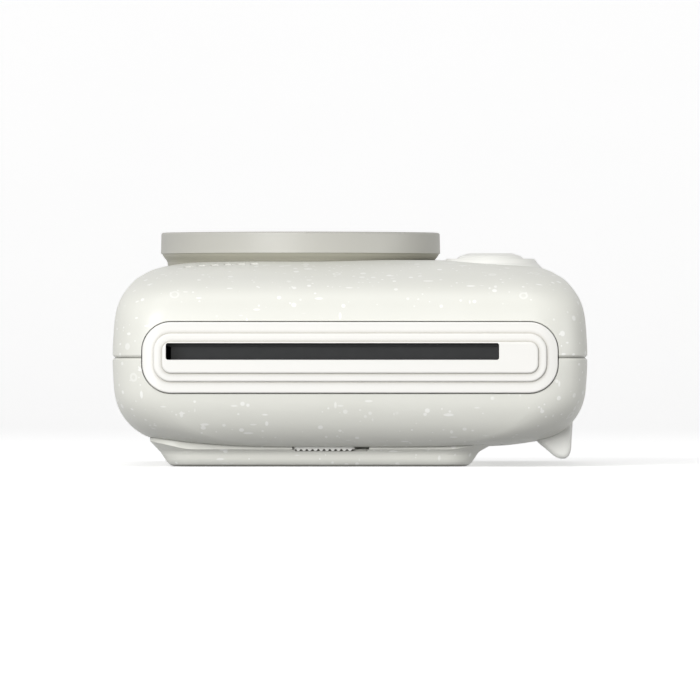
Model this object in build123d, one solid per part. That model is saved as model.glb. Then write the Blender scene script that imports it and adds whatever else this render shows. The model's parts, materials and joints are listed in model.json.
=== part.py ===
from build123d import *
import math
import os

# Instant camera, pocket hybrid kind. Millimetres.
# It lies on its back: +Z is where the lens looks, -Y is the end the print comes out of, +X is to the right
# of someone who faces that end. The origin is under the middle of the body, on the surface it rests on.

# ---------------------------------------------------------------- driving dimensions
WIDTH = 82.5
LENGTH = 122.9
HALF_X = WIDTH / 2
REAR_Y = LENGTH / 2
BEZEL_Y = -LENGTH / 2        # front face of the exit bezel
BEZEL_PROUD = 1.15           # how far the bezel's middle stands out of the shell's end
EXIT_Y = BEZEL_Y + BEZEL_PROUD
SHELL_LENGTH = REAR_Y - EXIT_Y
SHELL_MID_Y = (REAR_Y + EXIT_Y) / 2

PARTING_Z = 19.0             # the plane where the two shells meet
PARTING_GAP = 0.2
PARTING_CHAMFER = 0.25
PARTING_RIM_IN = 0.4         # the rear shell's rim closes the gap this far behind the surface
WALL = 1.8

SIDE_R = 60.0                # slow bow of the side wall
# Half sections: height of the side bow, radius of the round, and the lean where the crown takes over.
FRONT_SIDE = {"rise": 7.0, "round_r": 10.3, "round_end": 78.0}
FRONT_END = {"rise": 7.0, "round_r": 7.2, "round_end": 67.0}
BACK_SIDE = {"rise": 6.0, "round_r": 9.6, "round_end": 78.0}
BACK_END = {"rise": 6.0, "round_r": 10.6, "round_end": 74.0}
FRONT_HALF = {"height": 17.05, "side": FRONT_SIDE, "end": FRONT_END, "up": 1}
BACK_HALF = {"height": 15.6, "side": BACK_SIDE, "end": BACK_END, "up": -1}
FRONT_Z = PARTING_Z + FRONT_HALF["height"]
BACK_Z = PARTING_Z - BACK_HALF["height"]
CORNER_R = 8.5               # plan corner radius at the parting plane
CORNER_GROWTH = 0.45         # the plan corners open up as the section closes in

RING_X = -8.73
RING_Y = -16.5
RING_R = 24.65
RING_FOOT_R = 23.45
RING_BORE_R = 21.0
RING_SLEEVE_R = 22.8
RING_BAND_Z = 37.3
RING_TOP_Z = 41.0
RING_SLEEVE_Z = 32.2
LENS_PANEL_Z = 38.4
LENS_HOLE_R = 9.1
FLASH_SPOT = (RING_X + 10.0, RING_Y + 10.0)
MIRROR_SPOT = (RING_X - 10.6, RING_Y + 10.6)
MIRROR_R = 3.5

PAD_X = 24.6
PAD_Y = -33.0
PAD_TOP_R = 7.65
PAD_FOOT_R = 9.9
PAD_NECK_R = 7.4
PAD_NECK_Z = 32.2
PAD_TOP_Z = 36.3
BUTTON_R = 5.85
BUTTON_TOP_Z = 37.25

PANEL_HALF_X = 36.0          # exit bezel outline
PANEL_HALF_Z = 6.15
PANEL_CORNER_R = 5.0
PANEL_GAP = 0.15
TERRACE_IN = 1.95            # each raised terrace lies this far inside the one below
SLOT_X0 = -31.9
SLOT_X1 = 25.8
SLOT_Z0 = 18.6
SLOT_Z1 = 21.5
FLAP_Y = EXIT_Y + 1.0
FLAP_Z = 21.2
FLAP_X0 = SLOT_X0 + 0.9
FLAP_X1 = SLOT_X1 - 0.1

DOOR_X0 = -35.0
DOOR_X1 = 26.6
DOOR_Y0 = -50.2
DOOR_Y1 = 49.9
DOOR_GAP = 0.15
DOOR_CORNER_R = 5.0
PLATEAU_X0 = -31.4           # where the plateau's walls would meet the resting plane without a round
PLATEAU_X1 = 20.8
PLATEAU_Y0 = -48.1
PLATEAU_Y1 = 46.9
PLATEAU_LEAN = 33.5          # lean of the side and rear walls, from upright
PLATEAU_NEAR_LEAN = 22.0
PLATEAU_FLARE = 60.0         # lean of the +X and -Y walls at their root
PLATEAU_LOW_FLARE = 43.0     # the same for the other two walls
PLATEAU_FLARE_Z = 2.5
PLATEAU_TOP_Z = 5.0
PLATEAU_ROOT_R = 1.5
PLATEAU_ROUND = 2.1
HINGE_Y = 51.2
HINGE_Z = 2.4
HINGE_R = 1.6
HINGE_PIN_R = 0.75

LCD_X0 = -26.2
LCD_X1 = 14.7
LCD_Y0 = -37.0
LCD_Y1 = 18.0
KEYS_X = (LCD_X0 + LCD_X1) / 2
KEYS_Y = 32.0
KEY_SPOTS = {"playback_button": (KEYS_X - 15.5, KEYS_Y - 7), "back_button": (KEYS_X + 15.5, KEYS_Y - 7),
             "print_button": (KEYS_X + 15.5, KEYS_Y + 7)}
KEY_R = 3.0
RING_KEY_R = 9.0
MENU_KEY_R = 4.5
KEY_FACE_Z = 0.2             # how deep the keys sit in the resting face
LATCH_X0 = -9.9
LATCH_X1 = 0.9
LATCH_Y0 = -49.9
LATCH_Y1 = -46.9
LATCH_TRAVEL = 2.2
LATCH_RIDGES = 10
LATCH_RIDGE_DEPTH = 0.9

CHAMBER_X0 = -33.2
CHAMBER_X1 = 27.2
CHAMBER_Y0 = -41.0
CHAMBER_Y1 = 47.5
CHAMBER_Z0 = 7.3
CHAMBER_Z1 = 22.5
CLAW_X = 22.0

ROLLER_Y = -52.0
FILM_Z = 20.0
ROLLER_R = 3.3
MODULE = 0.4
ROLLER_TEETH = 17
PINION_TEETH = 10
IDLER_BIG_TEETH = 30
IDLER_SMALL_TEETH = 12
MOTOR_Y = -44.6
MOTOR_Z = 27.7
ROLLER_GEARS = (27.3, 28.6)  # X span where the two roller gears mesh
IDLER_SMALL = (28.9, 30.1)   # X span where the upper roller's gear meets the idler's small wheel
IDLER_BIG = (30.4, 31.9)     # X span of the idler's big wheel and the motor pinion

BOARD_Z0 = 23.6
BOARD_Z1 = 24.6
SIDE_KEY_Z = 24.6
SHORTCUT_Y = (-24.0, -11.0, 2.0)
POWER_Y = -6.0
USB_Y = 20.0
CARD_Y = 33.0
SCREW_SPOTS = [(30.5, -36.0), (30.5, 45.5), (-17.0, 55.0), (17.0, 55.0)]
BOARD_SCREWS = [(-27.0, -32.0), (-27.0, 44.0), (13.0, 0.0)]
SHELL_KNUCKLES = [(-24.2, -20.2), (-11.8, 1.8), (10.2, 14.2)]
DOOR_KNUCKLES = [(-20.0, -12.0), (2.0, 10.0)]
LUG_Y0 = -47.0
LUG_Y1 = -40.5
LUG_HOLE_R = 1.2
LUG_HOLE_Z = 3.35
LUG_SOFTEN = 0.9


# ---------------------------------------------------------------- helpers
def block(x0, x1, y0, y1, z0, z1):
    return Pos((x0 + x1) / 2, (y0 + y1) / 2, (z0 + z1) / 2) * Box(x1 - x0, y1 - y0, z1 - z0)


def rod_x(y, z, r, x0, x1):
    return Pos((x0 + x1) / 2, y, z) * Rot(0, 90, 0) * Cylinder(r, x1 - x0)


def rod_y(x, z, r, y0, y1):
    return Pos(x, (y0 + y1) / 2, z) * Rot(90, 0, 0) * Cylinder(r, y1 - y0)


def rod_z(x, y, r, z0, z1):
    return Pos(x, y, (z0 + z1) / 2) * Cylinder(r, z1 - z0)


def slab(x0, x1, y0, y1, z0, z1, r):
    """A plate with rounded plan corners."""
    outline = Pos((x0 + x1) / 2, (y0 + y1) / 2, z0) * RectangleRounded(x1 - x0, y1 - y0, r)
    return extrude(outline, z1 - z0)


def end_slab(x0, x1, z0, z1, y0, y1, r):
    """A plate that faces along Y, with rounded corners."""
    face = Plane.XZ.offset(-y1) * Pos((x0 + x1) / 2, (z0 + z1) / 2) * RectangleRounded(x1 - x0, z1 - z0, r)
    return extrude(face, y1 - y0)


def side_slab(y0, y1, z0, z1, x0, x1, r):
    """A plate that faces along X, with rounded corners."""
    face = Plane.YZ.offset(x0) * Pos((y0 + y1) / 2, (z0 + z1) / 2) * RectangleRounded(y1 - y0, z1 - z0, r)
    return extrude(face, x1 - x0)


def turned(x, y, points):
    """A solid of revolution about the vertical through (x, y), from (radius, height) points."""
    face = make_face(Polyline([(r, 0, z) for r, z in points], close=True))
    return Pos(x, y, 0) * revolve(face, Axis.Z)


# ---------------------------------------------------------------- body form
def section_arcs(height, shape):
    """A half section as three tangent arcs: inset and height of the centre, radius, and lean at the end."""
    t1 = math.asin(shape["rise"] / SIDE_R)
    t2 = math.radians(shape["round_end"])
    round_r = shape["round_r"]
    round_in = SIDE_R - (SIDE_R - round_r) * math.cos(t1)
    round_up = (SIDE_R - round_r) * math.sin(t1)
    crown_r = (height - round_up - round_r * math.sin(t2)) / (1 - math.sin(t2))
    crown_in = round_in + (crown_r - round_r) * math.cos(t2)
    return [(SIDE_R, 0.0, SIDE_R, t1), (round_in, round_up, round_r, t2),
            (crown_in, height - crown_r, crown_r, math.pi / 2)]


def height_at(arcs, wall, lean):
    """Height of the section, offset inwards by wall, where it leans by lean degrees."""
    t = math.radians(lean)
    for _, centre_up, radius, last in arcs:
        if t <= last + 1e-9:
            break
    return centre_up + (radius - wall) * math.sin(t)


def inset_at(arcs, wall, z):
    """Inset of the offset section at height z, and how much of the wall lies level there."""
    for centre_in, centre_up, radius, last in arcs:
        if z <= centre_up + (radius - wall) * math.sin(last) + 1e-9:
            break
    level = math.sqrt(max(0.0, (radius - wall) ** 2 - (z - centre_up) ** 2))
    return centre_in - level, level / (radius - wall)


def spread(first, last, steps):
    """Evenly spaced values from first up to, but not including, last."""
    return [first + (last - first) * i / steps for i in range(steps)]


def plan(inset_x, inset_y, z, corner):
    outline = RectangleRounded(WIDTH - 2 * inset_x, SHELL_LENGTH - 2 * inset_y, corner)
    return Pos(0, SHELL_MID_Y, z) * outline


def plan_prism(inset, z0, z1):
    """An upright prism with the body's plan at the parting plane, taken in by inset."""
    return extrude(plan(inset, inset, z0, CORNER_R - inset), z1 - z0)


def half_rings(half, wall):
    """Plan outlines of one half, from the parting plane to its face; wall offsets them inwards."""
    side = section_arcs(half["height"], half["side"])
    end = section_arcs(half["height"], half["end"])
    bow_end = math.degrees(side[0][3])
    round_end = half["side"]["round_end"]
    leans = spread(0.4, bow_end, 3) + spread(bow_end, round_end, 6) + spread(round_end, 90, 5) + [90]
    rings = []
    for lean in leans:
        z = height_at(side, wall, lean)
        inset_x, level = inset_at(side, wall, z)
        inset_y, _ = inset_at(end, wall, z)
        corner = CORNER_R + CORNER_GROWTH * (inset_x - wall * level) - wall * level
        rings.append(plan(inset_x, inset_y, PARTING_Z + half["up"] * z, corner))
    return rings


def outer_half(half):
    rings = half_rings(half, 0)
    low = PARTING_Z + half["up"] * PARTING_GAP / 2
    edge = plan(PARTING_CHAMFER, PARTING_CHAMFER, low, CORNER_R - PARTING_CHAMFER)
    return loft(rings) + loft([edge, rings[0]], ruled=True)


def inner_half(half):
    rings = half_rings(half, WALL)
    past_parting = half["up"] * 1.5
    return loft(rings) + extrude(rings[0], 1.5, dir=(0, 0, -past_parting))


FRONT_OUTER = outer_half(FRONT_HALF)
FRONT_INNER = inner_half(FRONT_HALF)
BACK_OUTER = outer_half(BACK_HALF)
BACK_INNER = inner_half(BACK_HALF)


def above_front(solid):
    """What is left of a solid that sits on the front shell."""
    return solid - FRONT_OUTER


# ---------------------------------------------------------------- shells
def panel_prism(margin, y0, y1):
    """A block along Y with the exit bezel's outline, grown by margin."""
    half_x = PANEL_HALF_X + margin
    half_z = PANEL_HALF_Z + margin
    return end_slab(-half_x, half_x, PARTING_Z - half_z, PARTING_Z + half_z, y0, y1, PANEL_CORNER_R + margin)


def wall_band(margin, near, far):
    """The bezel outline grown by margin, between two insets of the body's plan."""
    band = plan_prism(near, PARTING_Z - 9, PARTING_Z + 9) - plan_prism(far, PARTING_Z - 10, PARTING_Z + 10)
    return panel_prism(margin, BEZEL_Y - 1, EXIT_Y + 7) & band


def bezel_seat():
    """The opening for the exit bezel, and inside it the wider rebate for the bezel's flange."""
    return panel_prism(PANEL_GAP, BEZEL_Y - 1, EXIT_Y + 7) + wall_band(1.5, WALL - 0.1, 4.0)


def side_key_hole(side, y, half_length, margin):
    """The through hole for a side key, or with no margin the key's own column."""
    inner = side * (HALF_X - WALL - 3.0)
    outer = side * (HALF_X + 1.0)
    half_z = 1.9
    return side_slab(y - half_length - margin, y + half_length + margin, SIDE_KEY_Z - half_z - margin,
                     SIDE_KEY_Z + half_z + margin, min(inner, outer), max(inner, outer), half_z + margin - 0.01)


def speaker_slots():
    slots = []
    for i in range(6):
        x = -28.2 + 2.3 * i
        slots.append(slab(x - 0.75, x + 0.75, -44.3, -42.6, FRONT_Z - 8, FRONT_Z + 1, 0.4))
    return slots


def front_boss(x, y):
    post = rod_z(x, y, 2.5, PARTING_Z + 2.0, FRONT_Z)
    return (post & FRONT_OUTER) - rod_z(x, y, 1.05, PARTING_Z + 1.0, PARTING_Z + 9.0)


def make_front_shell():
    shell = FRONT_OUTER - FRONT_INNER
    for x, y in SCREW_SPOTS:
        shell += front_boss(x, y)
    shell -= rod_z(RING_X, RING_Y, RING_SLEEVE_R + 0.1, PARTING_Z + 8, FRONT_Z + 3)
    shell -= rod_z(PAD_X, PAD_Y, PAD_NECK_R + 0.1, PARTING_Z + 10, FRONT_Z + 3)
    shell -= bezel_seat()
    for y in SHORTCUT_Y:
        shell -= side_key_hole(-1, y, 4.5, 0.2)
    shell -= side_key_hole(1, POWER_Y, 5.5, 0.2)
    shell -= side_slab(USB_Y - 4.7, USB_Y + 4.7, BOARD_Z1 - 0.1, BOARD_Z1 + 3.4, HALF_X - 3, HALF_X + 1, 1.7)
    card_z = BOARD_Z1 + 0.4
    shell -= side_slab(CARD_Y - 6.2, CARD_Y + 6.2, card_z, card_z + 1.4, HALF_X - 3, HALF_X + 1, 0.5)
    for slot in speaker_slots():
        shell -= slot
    return shell


def rear_boss(x, y):
    """A screw column of the rear shell, with the head's pocket open to the outside."""
    inside = BACK_OUTER + plan_prism(WALL + 1.2, PARTING_Z - 3, PARTING_Z + 3)
    post = rod_z(x, y, 2.9, BACK_Z, PARTING_Z + 1.9) & inside
    return post - rod_z(x, y, 2.1, BACK_Z - 1, BACK_Z + 8.0) - rod_z(x, y, 1.1, BACK_Z, PARTING_Z + 3)


def lug_stem(margin):
    """The lug's root, which is set into a pocket through the rear shell's wall."""
    middle = (LUG_Y0 + LUG_Y1) / 2
    return slab(33.9 - margin, 37.5 + margin, middle - 2.2 - margin, middle + 2.2 + margin, 4.0, 12.0, 0.8)


def make_strap_lug():
    """A leaf-shaped fin under the +X edge of the back, pierced along X."""
    leaf = Spline((31.5, 6.2), (33.0, 4.0), (34.45, 2.8), (36.0, 1.6), (36.95, 1.35), (37.85, 1.6),
                  (38.4, 2.5), (38.6, 4.2), (38.8, 7.6), (38.85, 9.5))
    face = Plane.XZ.offset(-LUG_Y1) * make_face(leaf + Polyline(leaf @ 1, (31.5, 9.5), leaf @ 0))
    fin = extrude(face, LUG_Y1 - LUG_Y0)
    fin = fillet(fin.edges().filter_by(GeomType.BSPLINE), LUG_SOFTEN)
    return (fin - BACK_OUTER) + lug_stem(0) - rod_x((LUG_Y0 + LUG_Y1) / 2, LUG_HOLE_Z, LUG_HOLE_R, 30, 42)


def hinge_barrel(x0, x1, r):
    return rod_x(HINGE_Y, HINGE_Z, r, x0, x1)


def make_rear_shell():
    shell = BACK_OUTER - BACK_INNER
    tongue = plan_prism(WALL + 0.15, PARTING_Z - 2.4, PARTING_Z + 1.4)
    root = plan_prism(WALL - 0.1, PARTING_Z - 4.0, PARTING_Z - 1.2)
    rim = plan_prism(PARTING_RIM_IN, PARTING_Z - 0.6, PARTING_Z + PARTING_GAP / 2 - 0.02)
    shell += (tongue + root + rim) - plan_prism(WALL + 0.95, PARTING_Z - 5, PARTING_Z + 2)
    for x, y in SCREW_SPOTS:
        shell -= rod_z(x, y, 2.9, BACK_Z - 1, PARTING_Z)
        shell += rear_boss(x, y)
    shell -= slab(DOOR_X0, DOOR_X1, DOOR_Y0, DOOR_Y1, 0, PARTING_Z - 5, DOOR_CORNER_R)
    shell -= bezel_seat()
    for x0, x1 in SHELL_KNUCKLES:
        web = block(x0, x1, HINGE_Y - 0.3, HINGE_Y + 3.0, HINGE_Z, BACK_Z + 1.0)
        shell += hinge_barrel(x0, x1, HINGE_R) + (web & (BACK_OUTER + web) - BACK_INNER)
    for x0, x1 in DOOR_KNUCKLES:
        shell -= hinge_barrel(x0 - 0.2, x1 + 0.2, HINGE_R + 0.3)
    shell -= lug_stem(0.05)
    shell -= hinge_barrel(-23.4, 13.4, HINGE_PIN_R + 0.02)
    return shell


# ---------------------------------------------------------------- exit bezel and flap
def terrace(inset, y_front, soften):
    """One raised level of the bezel, following the plan of the body's end, with a softened rim."""
    outline = panel_prism(-inset, BEZEL_Y - 1, EXIT_Y + 6)
    level = outline & plan_prism(y_front - EXIT_Y, PARTING_Z - 9, PARTING_Z + 9)
    seam_x = HALF_X - CORNER_R + 1.5
    rim = []
    for edge in level.edges():
        middle = edge.center()
        on_front = middle.Y < y_front + 2.2
        is_seam = abs(middle.X) < seam_x and abs(edge.tangent_at(0.5).Z) > 0.9
        if on_front and not is_seam:
            rim.append(edge)
    return fillet(rim, soften)


def make_exit_bezel():
    bezel = terrace(0, EXIT_Y - 0.2, 0.3)
    bezel += terrace(TERRACE_IN, EXIT_Y - 0.68, 0.35)
    bezel += terrace(TERRACE_IN + 1.45, BEZEL_Y, 0.35)
    bezel -= plan_prism(1.1, PARTING_Z - 10, PARTING_Z + 10)
    bezel += wall_band(0, 1.0, 2.7)
    bezel += wall_band(1.2, WALL + 0.1, 2.7)
    bezel -= end_slab(SLOT_X0, SLOT_X1, SLOT_Z0, SLOT_Z1, BEZEL_Y - 1, EXIT_Y + 5, 0.4)
    bezel -= block(SLOT_X0 - 0.2, SLOT_X1 + 0.2, FLAP_Y - 0.6, EXIT_Y + 5, SLOT_Z0 - 0.5, FLAP_Z + 0.75)
    return bezel - rod_x(FLAP_Y, FLAP_Z, 0.34, SLOT_X0 - 1.4, SLOT_X1 + 1.4)


def make_exit_flap():
    plate = block(FLAP_X0, FLAP_X1, FLAP_Y - 0.25, FLAP_Y + 0.25, SLOT_Z0 + 0.05, FLAP_Z)
    barrel = rod_x(FLAP_Y, FLAP_Z, 0.42, FLAP_X0, FLAP_X1)
    return plate + barrel + rod_x(FLAP_Y, FLAP_Z, 0.29, SLOT_X0 - 1.2, SLOT_X1 + 1.2)


# ---------------------------------------------------------------- lens group
def make_lens_ring():
    band = turned(RING_X, RING_Y, [
        (RING_BORE_R, RING_BAND_Z - 3.5), (RING_FOOT_R, RING_BAND_Z - 3.5), (RING_FOOT_R, RING_BAND_Z - 1.9),
        (RING_FOOT_R + 0.06, RING_BAND_Z - 1.5), (RING_FOOT_R + 0.24, RING_BAND_Z - 1.15),
        (RING_FOOT_R + 0.72, RING_BAND_Z - 0.55), (RING_R - 0.18, RING_BAND_Z), (RING_R, RING_BAND_Z),
        (RING_R - 0.08, RING_TOP_Z),
        (RING_BORE_R + 1.0, RING_TOP_Z), (RING_BORE_R, RING_TOP_Z - 1.4)])
    top_edge = band.edges().filter_by(GeomType.CIRCLE).filter_by(lambda e: e.radius > RING_BORE_R + 0.5)
    band = fillet([e for e in top_edge if abs(e.center().Z - RING_TOP_Z) < 0.01], 0.4)
    sleeve = turned(RING_X, RING_Y, [
        (RING_BORE_R - 1.0, RING_SLEEVE_Z), (RING_SLEEVE_R, RING_SLEEVE_Z), (RING_SLEEVE_R, RING_BAND_Z - 1.0),
        (RING_BORE_R, RING_BAND_Z - 1.0), (RING_BORE_R, LENS_PANEL_Z - 1.0),
        (RING_BORE_R - 1.0, LENS_PANEL_Z - 1.0)])
    return above_front(band) + sleeve


def make_lens_panel():
    panel = rod_z(RING_X, RING_Y, RING_BORE_R - 0.1, LENS_PANEL_Z - 0.9, LENS_PANEL_Z)
    panel -= rod_z(RING_X, RING_Y, LENS_HOLE_R, LENS_PANEL_Z - 2, LENS_PANEL_Z + 1)
    for i in range(9):
        r = 11.0 + i
        groove = turned(RING_X, RING_Y, [(r - 0.2, LENS_PANEL_Z + 0.1), (r + 0.2, LENS_PANEL_Z + 0.1),
                                         (r, LENS_PANEL_Z - 0.15)])
        panel -= groove
    panel -= flash_outline(0.1, LENS_PANEL_Z - 2, LENS_PANEL_Z + 1)
    return panel - rod_z(*MIRROR_SPOT, MIRROR_R + 0.1, LENS_PANEL_Z - 2, LENS_PANEL_Z + 1)


def flash_outline(margin, z0, z1):
    x, y = FLASH_SPOT
    return slab(x - 4.5 - margin, x + 4.5 + margin, y - 2.8 - margin, y + 2.8 + margin, z0, z1, 1.2 + margin)


def make_flash_window():
    return flash_outline(0, LENS_PANEL_Z - 0.8, LENS_PANEL_Z + 0.1)


def make_flash_reflector():
    x, y = FLASH_SPOT
    shell = slab(x - 4.8, x + 4.8, y - 3.1, y + 3.1, LENS_PANEL_Z - 5.6, LENS_PANEL_Z - 0.95, 1.4)
    hollow = loft([Pos(x, y, LENS_PANEL_Z - 0.9) * RectangleRounded(8.4, 5.0, 1.0),
                   Pos(x, y, LENS_PANEL_Z - 4.9) * RectangleRounded(7.6, 2.2, 0.6)], ruled=True)
    return shell - hollow - rod_x(y, LENS_PANEL_Z - 3.6, 0.85, x - 6, x + 6)


def make_flash_tube():
    x, y = FLASH_SPOT
    return rod_x(y, LENS_PANEL_Z - 3.6, 0.8, x - 5.4, x + 5.4)


def make_selfie_mirror():
    dome = Pos(*MIRROR_SPOT, LENS_PANEL_Z - 23.9) * Sphere(24.2)
    return rod_z(*MIRROR_SPOT, MIRROR_R, LENS_PANEL_Z - 0.8, LENS_PANEL_Z + 1) & dome


def make_lens_bezel():
    return turned(RING_X, RING_Y, [
        (6.9, 36.2), (9.0, 36.2), (9.0, LENS_PANEL_Z), (9.6, LENS_PANEL_Z), (9.6, LENS_PANEL_Z + 0.7),
        (9.1, LENS_PANEL_Z + 1.3), (8.2, LENS_PANEL_Z + 1.5), (7.3, LENS_PANEL_Z + 0.6), (7.3, LENS_PANEL_Z - 0.4),
        (6.9, LENS_PANEL_Z - 0.4)])


def make_lens_cover_glass():
    return rod_z(RING_X, RING_Y, 7.2, LENS_PANEL_Z - 0.35, LENS_PANEL_Z + 0.4)


def make_lens_barrel():
    barrel = turned(RING_X, RING_Y, [
        (3.4, 26.9), (8.0, 26.9), (8.0, 29.0), (6.5, 29.0), (6.5, 36.8), (5.2, 36.8), (5.2, 33.5), (4.2, 33.5),
        (4.2, 30.0), (3.4, 30.0)])
    ribs = []
    for z in (30.2, 31.4, 32.6):
        ribs.append(turned(RING_X, RING_Y, [(6.6, z), (6.4, z + 0.15), (6.6, z + 0.3)]))
    for rib in ribs:
        barrel -= rib
    return barrel


def lens_disc(r, z, thick, bulge):
    """A lens element, convex towards the subject."""
    ball_r = (r * r + bulge * bulge) / (2 * bulge)
    dome = Pos(RING_X, RING_Y, z + thick + bulge - ball_r) * Sphere(ball_r)
    return rod_z(RING_X, RING_Y, r, z, z + thick + bulge) & dome


def make_lens_elements():
    return Compound([lens_disc(5.1, 34.0, 1.0, 0.9), lens_disc(4.1, 31.3, 0.9, 0.6),
                     lens_disc(3.3, 28.0, 0.8, 0.5)])


def make_image_sensor():
    base = block(RING_X - 6.5, RING_X + 6.5, RING_Y - 6.5, RING_Y + 6.5, BOARD_Z1, BOARD_Z1 + 0.8)
    chip = block(RING_X - 4, RING_X + 4, RING_Y - 3.2, RING_Y + 3.2, BOARD_Z1 + 0.8, BOARD_Z1 + 1.5)
    frame = block(RING_X - 6, RING_X + 6, RING_Y - 6, RING_Y + 6, BOARD_Z1 + 0.8, 26.9)
    return base + chip + (frame - block(RING_X - 5, RING_X + 5, RING_Y - 5, RING_Y + 5, BOARD_Z1 + 0.8, 27.0))


# ---------------------------------------------------------------- shutter
def make_shutter_collar():
    """A low pad round the button with a sloping foot, and a cup that guides the button's stem."""
    bore = BUTTON_R + 0.15
    boss = turned(PAD_X, PAD_Y, [
        (bore, 33.4), (PAD_FOOT_R, 33.4), (PAD_FOOT_R, 33.9), (8.3, 35.5), (7.95, 36.0),
        (PAD_TOP_R, PAD_TOP_Z), (bore, PAD_TOP_Z)])
    cup = turned(PAD_X, PAD_Y, [
        (bore, 32.8), (1.65, 32.8), (1.65, PAD_NECK_Z), (PAD_NECK_R - 0.8, PAD_NECK_Z), (PAD_NECK_R - 0.8, 33.0),
        (PAD_NECK_R, 33.4), (PAD_NECK_R, PAD_TOP_Z - 0.3), (bore, PAD_TOP_Z - 0.3)])
    return above_front(boss) + cup


def make_shutter_button():
    """A flat-topped cap with a sloping shoulder, on a stem that ends in a catch below the guiding cup."""
    cap = turned(PAD_X, PAD_Y, [
        (0, 34.5), (BUTTON_R, 34.5), (BUTTON_R, BUTTON_TOP_Z - 0.9), (5.3, BUTTON_TOP_Z - 0.45),
        (3.9, BUTTON_TOP_Z), (0, BUTTON_TOP_Z)])
    bends = [e for e in cap.edges().filter_by(GeomType.CIRCLE) if e.center().Z > 35]
    cap = fillet(bends, 0.25)
    return cap + rod_z(PAD_X, PAD_Y, 1.5, 31.7, 34.6) + rod_z(PAD_X, PAD_Y, 2.3, 31.7, 32.0)


def make_shutter_spring():
    path = Helix(pitch=0.62, height=1.24, radius=2.6)
    wire = sweep(Plane(origin=path @ 0, z_dir=path % 0) * Circle(0.17), path=path)
    return Pos(PAD_X, PAD_Y, 33.02) * wire


def make_shutter_switch():
    case = block(PAD_X - 3, PAD_X + 3, PAD_Y - 3, PAD_Y + 3, BOARD_Z1, 30.2)
    return case + rod_z(PAD_X, PAD_Y, 1.4, 30.2, 30.85)


# ---------------------------------------------------------------- side keys
def side_key(side, y, half_length):
    """A key in the side wall: the part seen outside, and a flange that keeps it in."""
    skin = FRONT_OUTER & plan_prism(0.3, PARTING_Z, PARTING_Z + 15)
    reach = side_key_hole(side, y, half_length, 0) & skin
    x_in = side * (HALF_X - WALL - 1.5)
    x_stop = side * (HALF_X - WALL - 0.75)
    keep = block(-50, 50, y - 10, y + 10, PARTING_Z, FRONT_Z) & plan_prism(WALL + 0.85, PARTING_Z, FRONT_Z)
    flange = side_slab(y - half_length - 1.1, y + half_length + 1.1, SIDE_KEY_Z - 2.9, SIDE_KEY_Z + 2.9,
                       min(x_in, x_stop), max(x_in, x_stop), 1.0)
    stem = reach - plan_prism(WALL + 1.5, PARTING_Z - 1, FRONT_Z)
    return stem + (flange & keep)


# ---------------------------------------------------------------- sound, power and boards
def make_speaker():
    x, y = -22.5, -43.5
    case = slab(x - 6.8, x + 6.8, y - 3.6, y + 3.4, 29.2, 32.0, 1.5)
    return case - slab(x - 5.6, x + 5.6, y - 2.6, y + 2.4, 31.5, 33, 1.2)


def make_flash_capacitor():
    can = rod_y(21.0, 29.3, 4.1, -26.5, -1.0)
    return can + rod_y(21.0, 29.3, 3.0, -27.3, -26.4)


def make_battery():
    return slab(-25, 19, 3, 48, 26.0, 31.6, 1.5)


def make_main_board():
    board = slab(-30, 26, -36, 47, BOARD_Z0, BOARD_Z1, 2.0)
    board += block(24, 28.6, -36, -28.5, BOARD_Z0, BOARD_Z1) - rod_z(*SCREW_SPOTS[0], 3.2, 20, 30)
    board += block(24, 38.4, USB_Y - 7, CARD_Y + 7, BOARD_Z0, BOARD_Z1)
    for x, y in BOARD_SCREWS:
        board -= rod_z(x, y, 0.95, 20, 30)
    return board


def make_board_components():
    chips = [block(-26, -14, -9, 0, BOARD_Z1, BOARD_Z1 + 1.1), block(0, 9, -8, 1, BOARD_Z1, BOARD_Z1 + 1.0),
             block(5, 12, -30, -22, BOARD_Z1, BOARD_Z1 + 1.4), block(27.5, 31, 16, 20, BOARD_Z1, BOARD_Z1 + 2.5)]
    for i in range(8):
        chips.append(block(-24 + 3 * i, -22.4 + 3 * i, -35, -34.2, BOARD_Z1, BOARD_Z1 + 0.6))
    return Compound(chips)


def make_usb_socket():
    case = side_slab(USB_Y - 4.5, USB_Y + 4.5, BOARD_Z1, BOARD_Z1 + 3.2, 32.5, 39.1, 1.55)
    mouth = side_slab(USB_Y - 4.2, USB_Y + 4.2, BOARD_Z1 + 0.3, BOARD_Z1 + 2.9, 33.3, 40, 1.25)
    tongue = block(33.2, 38.4, USB_Y - 3.3, USB_Y + 3.3, BOARD_Z1 + 1.3, BOARD_Z1 + 1.9)
    return case - mouth + tongue


def make_card_socket():
    case = block(27.5, 38.7, CARD_Y - 6.6, CARD_Y + 6.6, BOARD_Z1, BOARD_Z1 + 2.1)
    return case - block(28.5, 40, CARD_Y - 5.6, CARD_Y + 5.6, BOARD_Z1 + 0.6, BOARD_Z1 + 1.6)


def screw(x, y, head_z, head_r, head_t, shaft_r, tip_z, up):
    """A cross-head screw whose head is at head_z; up is the direction its shaft points."""
    z0, z1 = sorted((head_z, head_z + up * head_t))
    head = rod_z(x, y, head_r, z0, z1)
    s0, s1 = sorted((head_z + up * head_t, tip_z))
    socket_z0, socket_z1 = sorted((head_z - up * 0.1, head_z + up * head_t * 0.55))
    long = head_r * 0.6
    slim = head_r * 0.14
    cross = block(x - long, x + long, y - slim, y + slim, socket_z0, socket_z1)
    cross += block(x - slim, x + slim, y - long, y + long, socket_z0, socket_z1)
    return head + rod_z(x, y, shaft_r, s0, s1) - cross


def make_case_screws():
    return Compound([screw(x, y, BACK_Z + 6.6, 1.9, 1.4, 1.0, PARTING_Z + 8, 1) for x, y in SCREW_SPOTS])


def make_board_screws():
    return Compound([screw(x, y, BOARD_Z1 + 0.9, 1.6, 0.9, 0.85, 21.4, -1) for x, y in BOARD_SCREWS])


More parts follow.
